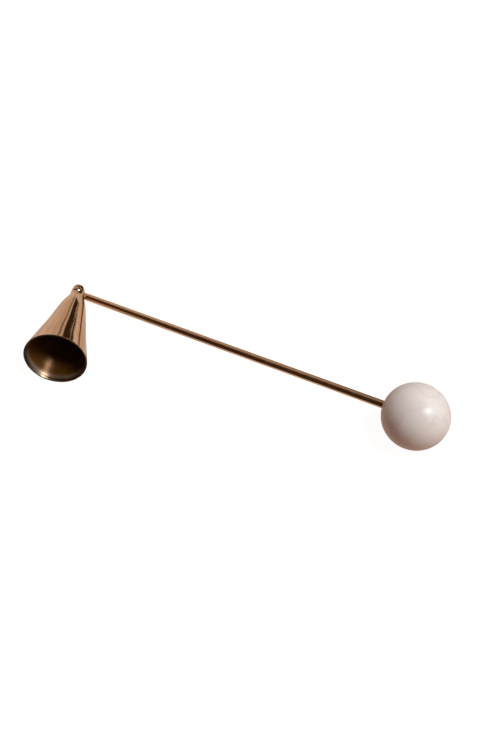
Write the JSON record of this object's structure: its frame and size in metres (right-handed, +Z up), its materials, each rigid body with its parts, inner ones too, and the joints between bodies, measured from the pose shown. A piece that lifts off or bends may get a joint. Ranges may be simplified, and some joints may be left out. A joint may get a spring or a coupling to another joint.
{
  "type": "candle snuffer",
  "caption": "Candle snuffer: a flared brass bell hinged by a rivet to a long thin rod that ends in a marble ball, lying at rest on a flat surface.",
  "frame": {"origin": "on the surface that the snuffer lies on, under the middle of its bounding box", "axes": "+X along the handle in plan, from the hinge towards the ball; +Z up; the bell's mouth faces -Y, a little +X and a little up"},
  "size_m": [0.2315, 0.0785, 0.035],
  "materials": {
    "bell_brass": "hand-polished warm brass, slightly wavy, brown and turned inside",
    "fork_brass": "hand-polished warm brass",
    "rivet_brass": "polished warm brass, a little darker",
    "tongue_brass": "satin warm brass",
    "rod_brass": "drawn and polished warm brass",
    "epoxy": "set epoxy resin",
    "marble": "polished off-white marble with faint mottling"
  },
  "bodies": {
    "handle": {"handle_rod": "rod_brass", "hinge_tongue": "tongue_brass", "socket_epoxy": "epoxy", "marble_ball": "marble"},
    "bell": {"bell_shell": "bell_brass", "bell_fork": "fork_brass", "hinge_rivet": "rivet_brass"}
  },
  "joints": [
    {"name": "bell_hinge", "type": "hinge", "parent": "handle", "child": "bell", "pos_m": [-0.11146, 0.02181, 0.00499], "axis": [0.0585, -0.1914, -0.9798], "range_deg": [-4, 233.4]}
  ]
}
